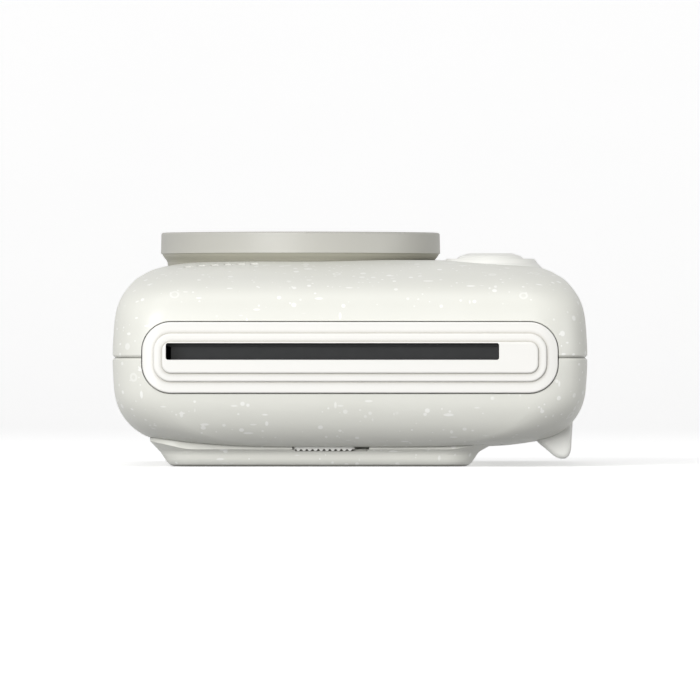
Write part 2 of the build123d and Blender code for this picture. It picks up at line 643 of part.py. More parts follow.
# ---------------------------------------------------------------- film transport
def make_film_chamber():
    """The dark box that takes the film pack, open towards the door, with a slit for the print."""
    box = slab(CHAMBER_X0, CHAMBER_X1, CHAMBER_Y0, CHAMBER_Y1, CHAMBER_Z0, CHAMBER_Z1, 3.0)
    box -= slab(CHAMBER_X0 + 1, CHAMBER_X1 - 1, CHAMBER_Y0 + 1, CHAMBER_Y1 - 1, CHAMBER_Z0 - 1,
                CHAMBER_Z1 - 1.5, 2.0)
    box -= block(CHAMBER_X0 + 2.6, CHAMBER_X1 - 2.6, CHAMBER_Y0 - 1, CHAMBER_Y0 + 2, 19.0, 21.0)
    box -= block(CLAW_X - 1.8, CLAW_X + 1.8, 37.9, 45.4, CHAMBER_Z1 - 3, CHAMBER_Z1 + 1)
    for x, y in BOARD_SCREWS:
        box += rod_z(x, y, 2.2, CHAMBER_Z1 - 0.2, BOARD_Z0)
        box -= rod_z(x, y, 0.87, CHAMBER_Z1 - 1.3, BOARD_Z0 + 1)
    return box


def make_film_claw():
    plate = block(CLAW_X - 1.5, CLAW_X + 1.5, 37.0, 46.0, CHAMBER_Z1 + 0.12, BOARD_Z0 - 0.15)
    return plate + block(CLAW_X - 1.4, CLAW_X + 1.4, 44.2, 45.2, 20.6, CHAMBER_Z1 + 0.2)


def make_roller_frame():
    """Two side plates joined by a bar above and a bar below the film path."""
    plates = []
    for x0, x1 in ((-33.0, -31.8), (25.8, 27.0)):
        plates.append(block(x0, x1, -55.6, -43.2, 12.4, 27.4) + block(x0, x1, -43.3, CHAMBER_Y0, 12.4, 22.3))
    frame = plates[0] + plates[1]
    frame += block(-33.0, 27.0, CHAMBER_Y0 - 1.2, CHAMBER_Y0, 12.4, 18.4)
    frame += block(-33.0, 27.0, -55.6, -48.6, 12.4, 13.0)
    frame -= rod_x(ROLLER_Y, FILM_Z - 3.4, 1.75, -40, 40)
    frame -= rod_x(ROLLER_Y, FILM_Z + 3.4, 1.75, -40, 40)
    y, z = idler_centre()
    frame -= rod_x(y, z, 1.0, 20, 40)
    return frame - rod_x(MOTOR_Y, MOTOR_Z, 5.3, 20, 40)


def make_roller_bushes():
    bushes = []
    for x0, x1 in ((-33.1, -31.7), (25.7, 27.1)):
        for z in (FILM_Z - 3.4, FILM_Z + 3.4):
            bushes.append(rod_x(ROLLER_Y, z, 1.75, x0, x1) - rod_x(ROLLER_Y, z, 1.05, x0 - 1, x1 + 1))
    return Compound(bushes)


def make_roller(z):
    body = rod_x(ROLLER_Y, z, ROLLER_R, -31.0, 25.0)
    return body + rod_x(ROLLER_Y, z, 1.0, -33.4, ROLLER_GEARS[0])


def tooth_outline(teeth, phase):
    """Gear outline: straight-flanked teeth, thin enough to leave backlash."""
    pitch_r = MODULE * teeth / 2
    root_r = pitch_r - 0.48
    tip_r = pitch_r + 0.3
    step = 2 * math.pi / teeth
    points = []
    for i in range(teeth):
        centre = phase + i * step
        for r, half in ((root_r, 0.30), (pitch_r, 0.20), (tip_r, 0.10)):
            a = centre - half * step
            points.append((r * math.cos(a), r * math.sin(a)))
        for r, half in ((tip_r, 0.10), (pitch_r, 0.20), (root_r, 0.30)):
            a = centre + half * step
            points.append((r * math.cos(a), r * math.sin(a)))
    return points


def gear(y, z, teeth, phase, x_span, bore_r):
    """A gear about an axis along X; phase is the angle of one tooth, from +Y towards +Z."""
    outline = Polyline(tooth_outline(teeth, phase), close=True)
    face = Plane.YZ.offset(x_span[0]) * Pos(y, z) * make_face(outline)
    wheel = extrude(face, x_span[1] - x_span[0])
    if bore_r:
        wheel -= rod_x(y, z, bore_r, x_span[0] - 1, x_span[1] + 1)
    return wheel


def idler_centre():
    """Where the idler meshes with both the upper roller's gear and the motor pinion."""
    to_roller = MODULE * (ROLLER_TEETH + IDLER_SMALL_TEETH) / 2
    to_motor = MODULE * (PINION_TEETH + IDLER_BIG_TEETH) / 2
    dy = MOTOR_Y - ROLLER_Y
    dz = MOTOR_Z - (FILM_Z + 3.4)
    span = math.hypot(dy, dz)
    along = (to_roller ** 2 - to_motor ** 2 + span ** 2) / (2 * span)
    aside = math.sqrt(to_roller ** 2 - along ** 2)
    return ROLLER_Y + (along * dy + aside * dz) / span, FILM_Z + 3.4 + (along * dz - aside * dy) / span


def meshed_phase(centre_a, teeth_a, phase_a, centre_b, teeth_b):
    """Phase of gear B that puts one of its gaps on gear A's tooth."""
    direction = math.atan2(centre_b[1] - centre_a[1], centre_b[0] - centre_a[0])
    r_a = MODULE * teeth_a / 2
    r_b = MODULE * teeth_b / 2
    offset = r_a * (phase_a - direction)
    return direction + math.pi + (math.pi * MODULE / 2 - offset) / r_b


UPPER = (ROLLER_Y, FILM_Z + 3.4)
LOWER = (ROLLER_Y, FILM_Z - 3.4)
UPPER_PHASE = 0.0
LOWER_PHASE = meshed_phase(UPPER, ROLLER_TEETH, UPPER_PHASE, LOWER, ROLLER_TEETH)
IDLER = idler_centre()
IDLER_PHASE = meshed_phase(UPPER, ROLLER_TEETH, UPPER_PHASE, IDLER, IDLER_SMALL_TEETH)
PINION_PHASE = meshed_phase(IDLER, IDLER_BIG_TEETH, IDLER_PHASE, (MOTOR_Y, MOTOR_Z), PINION_TEETH)


def make_roller_gear(centre, phase, x_span):
    return gear(*centre, ROLLER_TEETH, phase, x_span, 0)


def make_idler_gear():
    small = gear(*IDLER, IDLER_SMALL_TEETH, IDLER_PHASE, (IDLER_SMALL[0], IDLER_BIG[0]), 1.05)
    return small + gear(*IDLER, IDLER_BIG_TEETH, IDLER_PHASE, IDLER_BIG, 1.05)


def make_idler_shaft():
    return rod_x(*IDLER, 1.0, 25.9, 32.4) + rod_x(*IDLER, 1.6, 31.95, 32.4)


def make_motor():
    case = rod_x(MOTOR_Y, MOTOR_Z, 4.9, 3.0, 20.5)
    flat = block(0, 30, MOTOR_Y - 5, MOTOR_Y + 5, MOTOR_Z - 3.9, MOTOR_Z + 3.9)
    case = case & flat
    case += rod_x(MOTOR_Y, MOTOR_Z, 2.0, 2.4, 21.2)
    return case - rod_x(MOTOR_Y, MOTOR_Z, 0.8, 17.0, 22)


def make_motor_pinion():
    shaft = rod_x(MOTOR_Y, MOTOR_Z, 0.75, 17.2, IDLER_BIG[1])
    return shaft + gear(MOTOR_Y, MOTOR_Z, PINION_TEETH, PINION_PHASE, IDLER_BIG, 0)


def make_exposure_head():
    head = block(-30.0, 24.0, -47.9, CHAMBER_Y0 - 0.1, 21.2, 22.4)
    return head - block(-28.0, 22.0, -45.6, -44.4, 20.8, 21.7)


# ---------------------------------------------------------------- film door
def door_prism(margin, z0, z1):
    return slab(DOOR_X0 + margin, DOOR_X1 - margin, DOOR_Y0 + margin, DOOR_Y1 - margin, z0, z1,
                DOOR_CORNER_R - margin)


def plateau_outline(z, left, right, near, rear, corner):
    """The plateau's outline at height z, with each wall moved outwards from its line at the resting plane."""
    x0, x1 = PLATEAU_X0 - left, PLATEAU_X1 + right
    y0, y1 = PLATEAU_Y0 - near, PLATEAU_Y1 + rear
    return Pos((x0 + x1) / 2, (y0 + y1) / 2, z) * RectangleRounded(x1 - x0, y1 - y0, corner)


def make_plateau():
    """The raised back: leaning walls, flared at the root on two sides, with a rounded lower edge."""
    side = math.tan(math.radians(PLATEAU_LEAN))
    near = math.tan(math.radians(PLATEAU_NEAR_LEAN))
    low, high = PLATEAU_FLARE_Z, PLATEAU_TOP_Z
    out = (high - low) * math.tan(math.radians(PLATEAU_FLARE))
    less = (high - low) * math.tan(math.radians(PLATEAU_LOW_FLARE))
    foot = plateau_outline(0, 0, 0, 0, 0, 4.5)
    knee = plateau_outline(low, low * side, low * side, low * near, low * side, 6.0)
    root = plateau_outline(high, low * side + less, low * side + out, low * near + out, low * side + less, 8.0)
    raised = loft([foot, knee], ruled=True) + loft([knee, root], ruled=True)
    raised = fillet([e for e in raised.edges() if abs(e.center().Z - low) < 0.05], PLATEAU_ROOT_R)
    return fillet([e for e in raised.edges() if abs(e.center().Z) < 0.01], PLATEAU_ROUND)


def lcd_hole(margin, z0, z1):
    return slab(LCD_X0 - margin, LCD_X1 + margin, LCD_Y0 - margin, LCD_Y1 + margin, z0, z1, 1.5 + margin)


def make_film_door():
    plug = (BACK_OUTER - BACK_INNER) & door_prism(DOOR_GAP, 0, PARTING_Z)
    raised = make_plateau() & door_prism(DOOR_GAP, -1, PARTING_Z)
    door = plug + (raised - BACK_INNER)
    door -= slab(LCD_X0 - 1.2, LCD_X1 + 1.2, LCD_Y0 - 2, 44.0, 1.3, BACK_Z + 0.9, 1.5)
    door -= lcd_hole(0.1, -1, 2)
    for x, y in KEY_SPOTS.values():
        door -= rod_z(x, y, KEY_R + 0.15, -1, 2)
    door -= rod_z(KEYS_X, KEYS_Y, RING_KEY_R + 0.2, -1, 2)
    latch_end = LATCH_X1 + LATCH_TRAVEL + 0.25
    door -= slab(LATCH_X0 - 0.15, latch_end, LATCH_Y0 - 1.5, LATCH_Y1 + 0.15, BACK_Z - 0.4, BACK_Z + 0.9, 0.9)
    door -= block(LATCH_X0 + 0.35, latch_end - 0.3, LATCH_Y0 - 1.5, LATCH_Y0 + LATCH_RIDGE_DEPTH + 0.15,
                  BACK_Z - 0.71, BACK_Z)
    door -= block(LATCH_X0 + 0.9, LATCH_X1 + 1.4, LATCH_Y0 + 0.9, LATCH_Y1 - 0.9, BACK_Z - 0.4, BACK_Z + 4)
    for x0, x1 in DOOR_KNUCKLES:
        web = block(x0, x1, DOOR_Y1 - 3.5, HINGE_Y, HINGE_Z - 0.9, HINGE_Z + 1.2)
        door += hinge_barrel(x0, x1, HINGE_R) + web
    for x0, x1 in SHELL_KNUCKLES:
        door -= hinge_barrel(x0 - 0.15, x1 + 0.15, HINGE_R + 0.25)
    return door - hinge_barrel(-30, 20, HINGE_PIN_R + 0.06)


def make_door_liner():
    """The inner cover of the door, which closes the monitor's compartment from the film side."""
    return slab(LCD_X0 - 2.2, LCD_X1 + 2.2, LCD_Y0 - 3.0, 45.2, BACK_Z + 0.9, BACK_Z + 2.65, 2.0) & BACK_INNER


def make_pressure_springs():
    """Two bowed leaf springs that press the film pack forward."""
    thick = 0.25
    bow = [(-14, 0), (-12, 0), (0, 0.75), (12, 0), (14, 0)]
    upper = [(y, rise + thick) for y, rise in reversed(bow)]
    leaves = []
    for x in (KEYS_X - 12, KEYS_X + 12):
        outline = Polyline([(x, y, BACK_Z + 2.65 + rise) for y, rise in bow + upper], close=True)
        leaves.append(extrude(make_face(outline), 2.5, dir=(1, 0, 0), both=True))
    return Compound(leaves)


def make_lcd_window():
    return lcd_hole(0, 0.15, 1.15)


def make_lcd_panel():
    return slab(LCD_X0 - 0.6, LCD_X1 + 0.6, LCD_Y0 - 1, LCD_Y1 + 1.5, 1.4, 2.9, 0.8)


def make_control_board():
    return slab(LCD_X0 - 0.6, LCD_X1 + 0.6, LCD_Y1 + 2.4, 43.4, 2.6, 3.4, 0.8)


def make_door_key(name):
    """A key in the door's skin with a wider foot inside."""
    x, y = KEY_SPOTS[name]
    return rod_z(x, y, KEY_R, KEY_FACE_Z, 1.5) + rod_z(x, y, KEY_R + 0.7, 1.5, 2.1)


def make_direction_ring():
    ring = rod_z(KEYS_X, KEYS_Y, RING_KEY_R, KEY_FACE_Z, 1.7) + rod_z(KEYS_X, KEYS_Y, RING_KEY_R + 0.9, 1.6, 2.0)
    return ring - rod_z(KEYS_X, KEYS_Y, MENU_KEY_R + 0.3, -1, 3)


def make_menu_button():
    return rod_z(KEYS_X, KEYS_Y, MENU_KEY_R, KEY_FACE_Z, 2.1)


def make_latch_slider():
    """A thumb slider with a row of rounded ridges, and a hooked tongue that reaches inside."""
    z_top = BACK_Z + 0.55
    slider = slab(LATCH_X0, LATCH_X1, LATCH_Y0, LATCH_Y1, BACK_Z - 0.35, z_top, 0.8)
    pitch = (LATCH_X1 - LATCH_X0 - 1.8) / (LATCH_RIDGES - 1)
    for i in range(LATCH_RIDGES):
        ridge_x = LATCH_X0 + 0.9 + pitch * i
        slider += rod_y(ridge_x, BACK_Z - 0.3, 0.36, LATCH_Y0 + 0.1, LATCH_Y0 + LATCH_RIDGE_DEPTH)
    slider += block(-7.8, -1.6, LATCH_Y0 + 1.05, LATCH_Y1 - 1.05, z_top - 0.2, BACK_Z + 3.0)
    return slider + block(-8.6, -0.8, LATCH_Y0 + 0.5, LATCH_Y1 - 0.5, BACK_Z + 2.7, BACK_Z + 3.4)


def make_light_seal():
    """Foam round the chamber's mouth, just clear of the door."""
    low, high = CHAMBER_Z0 - 0.4, CHAMBER_Z0 - 0.02
    ring = slab(CHAMBER_X0 - 0.2, CHAMBER_X1 + 0.2, CHAMBER_Y0 - 0.6, CHAMBER_Y1 + 0.2, low, high, 3.0)
    mouth = slab(CHAMBER_X0 + 0.8, CHAMBER_X1 - 0.8, CHAMBER_Y0 + 0.6, CHAMBER_Y1 - 0.8, low - 1, high + 1, 2.4)
    return ring - mouth


def make_hinge_pin():
    return hinge_barrel(-23.3, 13.3, HINGE_PIN_R)


# ---------------------------------------------------------------- all sub-parts
def build_parts():
    parts = {
        "front_shell": make_front_shell(),
        "rear_shell": make_rear_shell(),
        "exit_bezel": make_exit_bezel(),
        "exit_flap": make_exit_flap(),
        "lens_ring": make_lens_ring(),
        "lens_panel": make_lens_panel(),
        "lens_bezel": make_lens_bezel(),
        "lens_cover_glass": make_lens_cover_glass(),
        "lens_barrel": make_lens_barrel(),
        "lens_elements": make_lens_elements(),
        "image_sensor": make_image_sensor(),
        "selfie_mirror": make_selfie_mirror(),
        "flash_window": make_flash_window(),
        "flash_reflector": make_flash_reflector(),
        "flash_tube": make_flash_tube(),
        "flash_capacitor": make_flash_capacitor(),
        "shutter_collar": make_shutter_collar(),
        "shutter_button": make_shutter_button(),
        "shutter_spring": make_shutter_spring(),
        "shutter_switch": make_shutter_switch(),
        "power_button": side_key(1, POWER_Y, 5.5),
        "speaker": make_speaker(),
        "battery": make_battery(),
        "main_board": make_main_board(),
        "board_components": make_board_components(),
        "board_screws": make_board_screws(),
        "usb_socket": make_usb_socket(),
        "card_socket": make_card_socket(),
        "case_screws": make_case_screws(),
        "film_chamber": make_film_chamber(),
        "film_claw": make_film_claw(),
        "light_seal": make_light_seal(),
        "exposure_head": make_exposure_head(),
        "roller_frame": make_roller_frame(),
        "roller_bushes": make_roller_bushes(),
        "roller_upper": make_roller(UPPER[1]),
        "roller_lower": make_roller(LOWER[1]),
        "roller_gear_upper": make_roller_gear(UPPER, UPPER_PHASE, (ROLLER_GEARS[0], IDLER_SMALL[1])),
        "roller_gear_lower": make_roller_gear(LOWER, LOWER_PHASE, ROLLER_GEARS),
        "idler_gear": make_idler_gear(),
        "idler_shaft": make_idler_shaft(),
        "motor": make_motor(),
        "motor_pinion": make_motor_pinion(),
        "film_door": make_film_door(),
        "door_liner": make_door_liner(),
        "pressure_springs": make_pressure_springs(),
        "lcd_window": make_lcd_window(),
        "lcd_panel": make_lcd_panel(),
        "control_board": make_control_board(),
        "direction_ring": make_direction_ring(),
        "menu_button": make_menu_button(),
        "latch_slider": make_latch_slider(),
        "hinge_pin": make_hinge_pin(),
        "strap_lug": make_strap_lug(),
    }
    for number, y in enumerate(SHORTCUT_Y, start=1):
        parts["shortcut_button_%d" % number] = side_key(-1, y, 4.5)
    for name in KEY_SPOTS:
        parts[name] = make_door_key(name)
    return parts


def main():
    os.makedirs("parts", exist_ok=True)
    for name, shape in build_parts().items():
        export_step(shape, "parts/" + name + ".step")
        print(name, round(shape.volume, 2))


main()
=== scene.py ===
"""Looks, light and camera for the pocket instant camera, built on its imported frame."""
import json
import math

import bpy
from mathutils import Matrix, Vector

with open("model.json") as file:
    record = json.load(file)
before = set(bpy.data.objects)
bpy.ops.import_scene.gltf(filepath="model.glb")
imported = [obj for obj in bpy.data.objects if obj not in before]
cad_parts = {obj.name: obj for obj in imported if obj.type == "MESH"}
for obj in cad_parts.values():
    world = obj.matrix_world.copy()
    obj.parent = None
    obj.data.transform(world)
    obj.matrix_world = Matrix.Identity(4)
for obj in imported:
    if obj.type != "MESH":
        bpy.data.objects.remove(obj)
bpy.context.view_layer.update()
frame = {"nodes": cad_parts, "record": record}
MM = 0.001

RING_BAND_Z = 37.3 * MM       # underside of the lens ring's upright band
FLAP_LEFT_X = -31.0 * MM      # left end of the exit flap
FLAP_SHADOW_FADE = 3.0 * MM          # how far from there the painted shadow at the left end fades out

SENSOR = 36.0                 # camera sensor width, millimetres as Blender counts them
VIEW_WIDTH = 121.8 * MM       # width of the view at the near end of the casing
VIEW_DISTANCE = 2.2           # from there to the camera, metres
VIEW_HEIGHT = 20.3 * MM
CASING_NEAR_Y = -49 * MM
OBJECT_MIDDLE = (0, -0.03, 0.02)   # what the lamps aim at

WORLD_FILL = 0.39             # studio light from all round
FLOOR_SIDE_SHARE = 0.48       # how much of it comes from straight below
FULL_FILL_AT = 0.2            # height of the view direction from which the fill is whole

FLOOR_GLOW = 0.43             # the paper's own light, which keeps it near white
SWEEP_NEAR = -4.0             # the floor runs from here ...
SWEEP_FAR = 2.0               # ... to the backdrop here, metres
SWEEP_HALF_WIDTH = 4.0
SWEEP_RISE = 3.0
SWEEP_BEND = 1.0              # radius between floor and backdrop, metres
SWEEP_STEPS = 16


# ---------------------------------------------------------------- small tools
def linear(red, green, blue):
    """An sRGB colour given in 0..255 as linear RGBA, by the standard sRGB curve."""
    def channel(value):
        v = value / 255
        return v / 12.92 if v <= 0.04045 else ((v + 0.055) / 1.055) ** 2.4
    return (channel(red), channel(green), channel(blue), 1.0)


class Recipe:
    """A material's node tree, with one short call for each kind of node."""

    def __init__(self, name):
        self.material = bpy.data.materials.new(name)
        self.material.use_nodes = True
        self.tree = self.material.node_tree
        self.shader = self.tree.nodes["Principled BSDF"]
        self.coords = self.tree.nodes.new("ShaderNodeTexCoord").outputs["Object"]

    def plug(self, source, socket):
        if isinstance(source, bpy.types.NodeSocket):
            self.tree.links.new(source, socket)
        else:
            socket.default_value = source

    def math(self, operation, *values, clamp=False):
        node = self.tree.nodes.new("ShaderNodeMath")
        node.operation = operation
        node.use_clamp = clamp
        for value, socket in zip(values, node.inputs):
            self.plug(value, socket)
        return node.outputs[0]

    def mapped(self, scale=(1, 1, 1), turn=(0, 0, 0), shift=(0, 0, 0)):
        node = self.tree.nodes.new("ShaderNodeMapping")
        node.inputs["Scale"].default_value = scale
        node.inputs["Rotation"].default_value = turn
        node.inputs["Location"].default_value = shift
        self.plug(self.coords, node.inputs["Vector"])
        return node.outputs[0]

    def noise(self, size_mm, detail=3.0, vector=None):
        """Noise whose features are about size_mm across."""
        node = self.tree.nodes.new("ShaderNodeTexNoise")
        node.inputs["Scale"].default_value = 1 / (size_mm * MM)
        node.inputs["Detail"].default_value = detail
        self.plug(self.coords if vector is None else vector, node.inputs["Vector"])
        return node.outputs["Fac"]

    def cells(self, size_mm, vector=None):
        """Voronoi cells: distance to the nearest centre, and three random numbers for each cell."""
        node = self.tree.nodes.new("ShaderNodeTexVoronoi")
        node.inputs["Scale"].default_value = 1 / (size_mm * MM)
        self.plug(self.coords if vector is None else vector, node.inputs["Vector"])
        split = self.tree.nodes.new("ShaderNodeSeparateColor")
        self.plug(node.outputs["Color"], split.inputs[0])
        return node.outputs["Distance"], split.outputs

    def remap(self, value, low, high):
        """A 0..1 value spread over low..high."""
        return self.math("MULTIPLY_ADD", value, high - low, low)

    def mix(self, factor, first, second):
        node = self.tree.nodes.new("ShaderNodeMix")
        node.data_type = "RGBA"
        self.plug(factor, node.inputs["Factor"])
        self.plug(first, node.inputs[6])
        self.plug(second, node.inputs[7])
        return node.outputs[2]

    def painted_shade_openness(self, reach_mm, gain, own_part_only):
        """For painted shade: 1 on open faces, falling to 0 in narrow gaps and sharp steps, where the caller
        paints a darker colour.
        """
        node = self.tree.nodes.new("ShaderNodeAmbientOcclusion")
        node.only_local = own_part_only
        node.samples = 8
        node.inputs["Distance"].default_value = reach_mm * MM
        return self.math("MULTIPLY_ADD", node.outputs["AO"], gain, 1 - gain, clamp=True)

    def bump(self, height, depth_mm):
        node = self.tree.nodes.new("ShaderNodeBump")
        node.inputs["Strength"].default_value = 1.0
        node.inputs["Distance"].default_value = depth_mm * MM
        self.plug(height, node.inputs["Height"])
        self.plug(node.outputs[0], self.shader.inputs["Normal"])

    def set(self, **values):
        for name, value in values.items():
            self.plug(value, self.shader.inputs[name.replace("_", " ")])


# ---------------------------------------------------------------- materials
TONE_PATCH = 9.0              # size of the slow drifts of tone on plastic, mm
GLOSS_PATCH = 2.0             # size of the drifts of gloss, mm
GLOSS_SWING = 0.05
GRAIN_DETAIL = 2.0


def moulded(name, colour, roughness, grain_mm, grain_depth, tone, coat):
    """Moulded plastic: a fine even grain, and a slight drift of tone and gloss."""
    r = Recipe(name)
    lighter = tuple(min(1.0, c * (1 + tone)) for c in colour[:3]) + (1.0,)
    darker = tuple(c * (1 - tone) for c in colour[:3]) + (1.0,)
    r.set(Base_Color=r.mix(r.noise(TONE_PATCH), darker, lighter))
    r.set(Roughness=r.remap(r.noise(GLOSS_PATCH), roughness - GLOSS_SWING, roughness + GLOSS_SWING))
    r.shader.inputs["Coat Weight"].default_value = coat
    r.bump(r.noise(grain_mm, GRAIN_DETAIL), grain_depth)
    return r.material


FLECK_EDGE = 0.05             # softness of a fleck's rim, in parts of a cell
RING_RADIUS = (0.15, 0.22)    # least and most, in parts of a cell
RING_HALF_WIDTH = 0.045
RING_EDGE_GAIN = 30.0
RING_SHARE = 0.6          # how strongly the rings show beside the solid flecks
FLECK_PATCH = 7.0             # size of the patches with more or fewer flecks, mm
FLECK_PATCH_RANGE = (0.1, 1.25)


def fleck_mask(r, vector, cell_mm, radius, chance):
    """Dots at the middles of some cells; radius is a (least, most) pair in parts of a cell."""
    distance, dice = r.cells(cell_mm, vector)
    size = r.remap(dice[0], *radius)
    dot = r.math("MULTIPLY_ADD", r.math("SUBTRACT", size, distance), 1 / FLECK_EDGE, 0.5, clamp=True)
    return r.math("MULTIPLY", dot, r.math("LESS_THAN", dice[1], chance))


def ring_mask(r, vector, cell_mm, chance):
    """A few ring-shaped flecks with a plain middle."""
    distance, dice = r.cells(cell_mm, vector)
    off_centre = r.math("ABSOLUTE", r.math("SUBTRACT", distance, r.remap(dice[0], *RING_RADIUS)))
    inside = r.math("SUBTRACT", RING_HALF_WIDTH, off_centre)
    band = r.math("MULTIPLY_ADD", inside, RING_EDGE_GAIN, 0.5, clamp=True)
    return r.math("MULTIPLY", band, r.math("LESS_THAN", dice[1], chance))


def speckled_plastic():
    """Stone-white plastic with pale flecks (dots, specks, slivers, a few rings), and painted shade that
    darkens narrow gaps and creases.
    """
    r = Recipe("stone_white_flecked")
    dots = fleck_mask(r, r.mapped(), cell_mm=2.3, radius=(0.1, 0.22), chance=0.55)
    speck_map = r.mapped(shift=(3.1, 1.7, 0.4))
    specks = fleck_mask(r, speck_map, cell_mm=1.3, radius=(0.1, 0.17), chance=0.45)
    sliver_map = r.mapped(scale=(0.38, 1.0, 1.25), turn=(0.2, math.radians(-24), 0.5))
    slivers = fleck_mask(r, sliver_map, cell_mm=1.8, radius=(0.1, 0.19), chance=0.5)
    steep_map = r.mapped(scale=(1.2, 0.9, 0.42), turn=(0.5, math.radians(-40), 0.2), shift=(0.7, 2.2, 1.9))
    steep = fleck_mask(r, steep_map, cell_mm=2.2, radius=(0.08, 0.16), chance=0.4)
    rings = ring_mask(r, r.mapped(shift=(0.9, 5.3, 2.6)), cell_mm=3.6, chance=0.14)
    rings = r.math("MULTIPLY", rings, RING_SHARE)
    flecks = r.math("MAXIMUM", dots, specks)
    for layer in (slivers, steep, rings):
        flecks = r.math("MAXIMUM", flecks, layer)
    patchy = r.remap(r.noise(FLECK_PATCH), *FLECK_PATCH_RANGE)
    flecks = r.math("MULTIPLY", flecks, patchy, clamp=True)
    base = r.mix(r.noise(11.0), linear(220, 220, 212), linear(226, 226, 219))
    flecked = r.mix(flecks, base, linear(248, 248, 245))
    # Painted shade: ambient occlusion darkens the base towards a warm dark grey in narrow gaps and creases.
    clear_of_painted_shade = r.painted_shade_openness(reach_mm=0.4, gain=1.6, own_part_only=False)
    r.set(Base_Color=r.mix(clear_of_painted_shade, linear(112, 111, 102), flecked))
    r.set(Roughness=r.remap(r.noise(1.6), 0.36, 0.46))
    r.bump(r.noise(0.3, GRAIN_DETAIL), 0.003)
    return r.material


def bezel_plastic():
    """Plain white plastic, with painted shade making the steps between its terraces a little darker and
    warmer.
    """
    r = Recipe("bezel_white")
    # Painted shade: ambient occlusion darkens the terrace steps towards a warm grey.
    clear_of_painted_shade = r.painted_shade_openness(reach_mm=0.7, gain=2.2, own_part_only=True)
    plain = r.mix(r.noise(TONE_PATCH), linear(232, 231, 227), linear(234, 233, 229))
    r.set(Base_Color=r.mix(clear_of_painted_shade, linear(176, 172, 161), plain))
    r.set(Roughness=r.remap(r.noise(GLOSS_PATCH), 0.31, 0.41))
    r.bump(r.noise(0.3, GRAIN_DETAIL), 0.002)
    return r.material


def shaded_flap():
    """Dark plastic with a painted shadow that falls off to black at the flap's left end."""
    r = Recipe("flap_grey")
    axes = r.tree.nodes.new("ShaderNodeSeparateXYZ")
    r.plug(r.coords, axes.inputs[0])
    # Painted shadow: the tone falls to near black over the last few millimetres at the left end, where the
    # slot's wall shades it.
    clear_of_painted_shadow = r.math("MULTIPLY_ADD", axes.outputs["X"], 1 / FLAP_SHADOW_FADE, -FLAP_LEFT_X / FLAP_SHADOW_FADE, clamp=True)
    plain = r.mix(r.noise(TONE_PATCH), linear(35, 36, 37), linear(37, 38, 39))
    r.set(Base_Color=r.mix(clear_of_painted_shadow, linear(9, 9, 8), plain))
    r.set(Roughness=r.remap(r.noise(GLOSS_PATCH), 0.75, 0.85))
    r.bump(r.noise(0.15, GRAIN_DETAIL), 0.006)
    return r.material


def ring_with_painted_neck_shade():
    """Greige plastic whose neck, under the band, is painted a darker and warmer tone as shade under the
    band.
    """
    r = Recipe("ring_greige")
    axes = r.tree.nodes.new("ShaderNodeSeparateXYZ")
    r.plug(r.coords, axes.inputs[0])
    on_band = r.math("GREATER_THAN", axes.outputs["Z"], RING_BAND_Z)
    drift = r.noise(TONE_PATCH)
    band = r.mix(drift, linear(180, 179, 172), linear(184, 183, 176))
    # Painted shade: the neck, in the band's shadow, gets a darker, warmer copy of the greige.
    painted_neck_shade = r.mix(drift, linear(158, 156, 143), linear(163, 161, 148))
    r.set(Base_Color=r.mix(on_band, painted_neck_shade, band))
    r.set(Roughness=r.remap(r.noise(GLOSS_PATCH), 0.42, 0.52))
    r.bump(r.noise(0.2, GRAIN_DETAIL), 0.003)
    return r.material


def brushed_metal(name, colour, roughness, stretch):
    """Metal with a fine grain, which stretch draws out into lines."""
    r = Recipe(name)
    lines = r.noise(0.12, 4.0, r.mapped(scale=stretch))
    r.set(Base_Color=r.mix(lines, tuple(c * 0.8 for c in colour[:3]) + (1,), colour), Metallic=1.0)
    r.set(Roughness=r.remap(lines, roughness - 0.08, roughness + 0.12))
    r.bump(lines, 0.002)
    return r.material


def clear_glass():
    """Clear glass, with the faint unevenness of a polished face."""
    r = Recipe("clear_glass")
    r.shader.inputs["Transmission Weight"].default_value = 1.0
    r.shader.inputs["IOR"].default_value = 1.5
    r.set(Base_Color=r.mix(r.noise(6.0), (0.9312, 0.9408, 0.9504, 1), (0.97, 0.98, 0.99, 1)))
    r.set(Roughness=r.remap(r.noise(3.0), 0.012, 0.028))
    return r.material


def coated_lens():
    """Lens glass with a purple-green coating that shows at its rim."""
    r = Recipe("coated_lens_glass")
    rim = r.tree.nodes.new("ShaderNodeLayerWeight")
    rim.inputs["Blend"].default_value = 0.35
    r.set(Base_Color=r.mix(rim.outputs["Facing"], (0.62, 0.55, 0.9, 1), (0.45, 0.85, 0.6, 1)))
    r.shader.inputs["Transmission Weight"].default_value = 1.0
    r.shader.inputs["IOR"].default_value = 1.6
    r.set(Roughness=r.remap(r.noise(3.0), 0.01, 0.03))
    return r.material


def board_mask():
    """Green solder mask with faint copper tracks under it."""
    r = Recipe("solder_mask")
    distance, _ = r.cells(2.2, r.mapped(scale=(1, 0.4, 0.2)))
    tracks = r.math("LESS_THAN", distance, 0.28)
    r.set(Base_Color=r.mix(tracks, linear(24, 92, 58), linear(40, 118, 74)))
    r.set(Roughness=r.remap(r.noise(1.0), 0.3, 0.42))
    r.bump(tracks, 0.01)
    return r.material


def foam():
    """Open-cell foam."""
    r = Recipe("foam_seal")
    distance, _ = r.cells(0.35)
    r.set(Base_Color=r.mix(distance, linear(14, 14, 14), linear(52, 52, 52)), Roughness=0.95)
    r.bump(distance, 0.08)
    return r.material


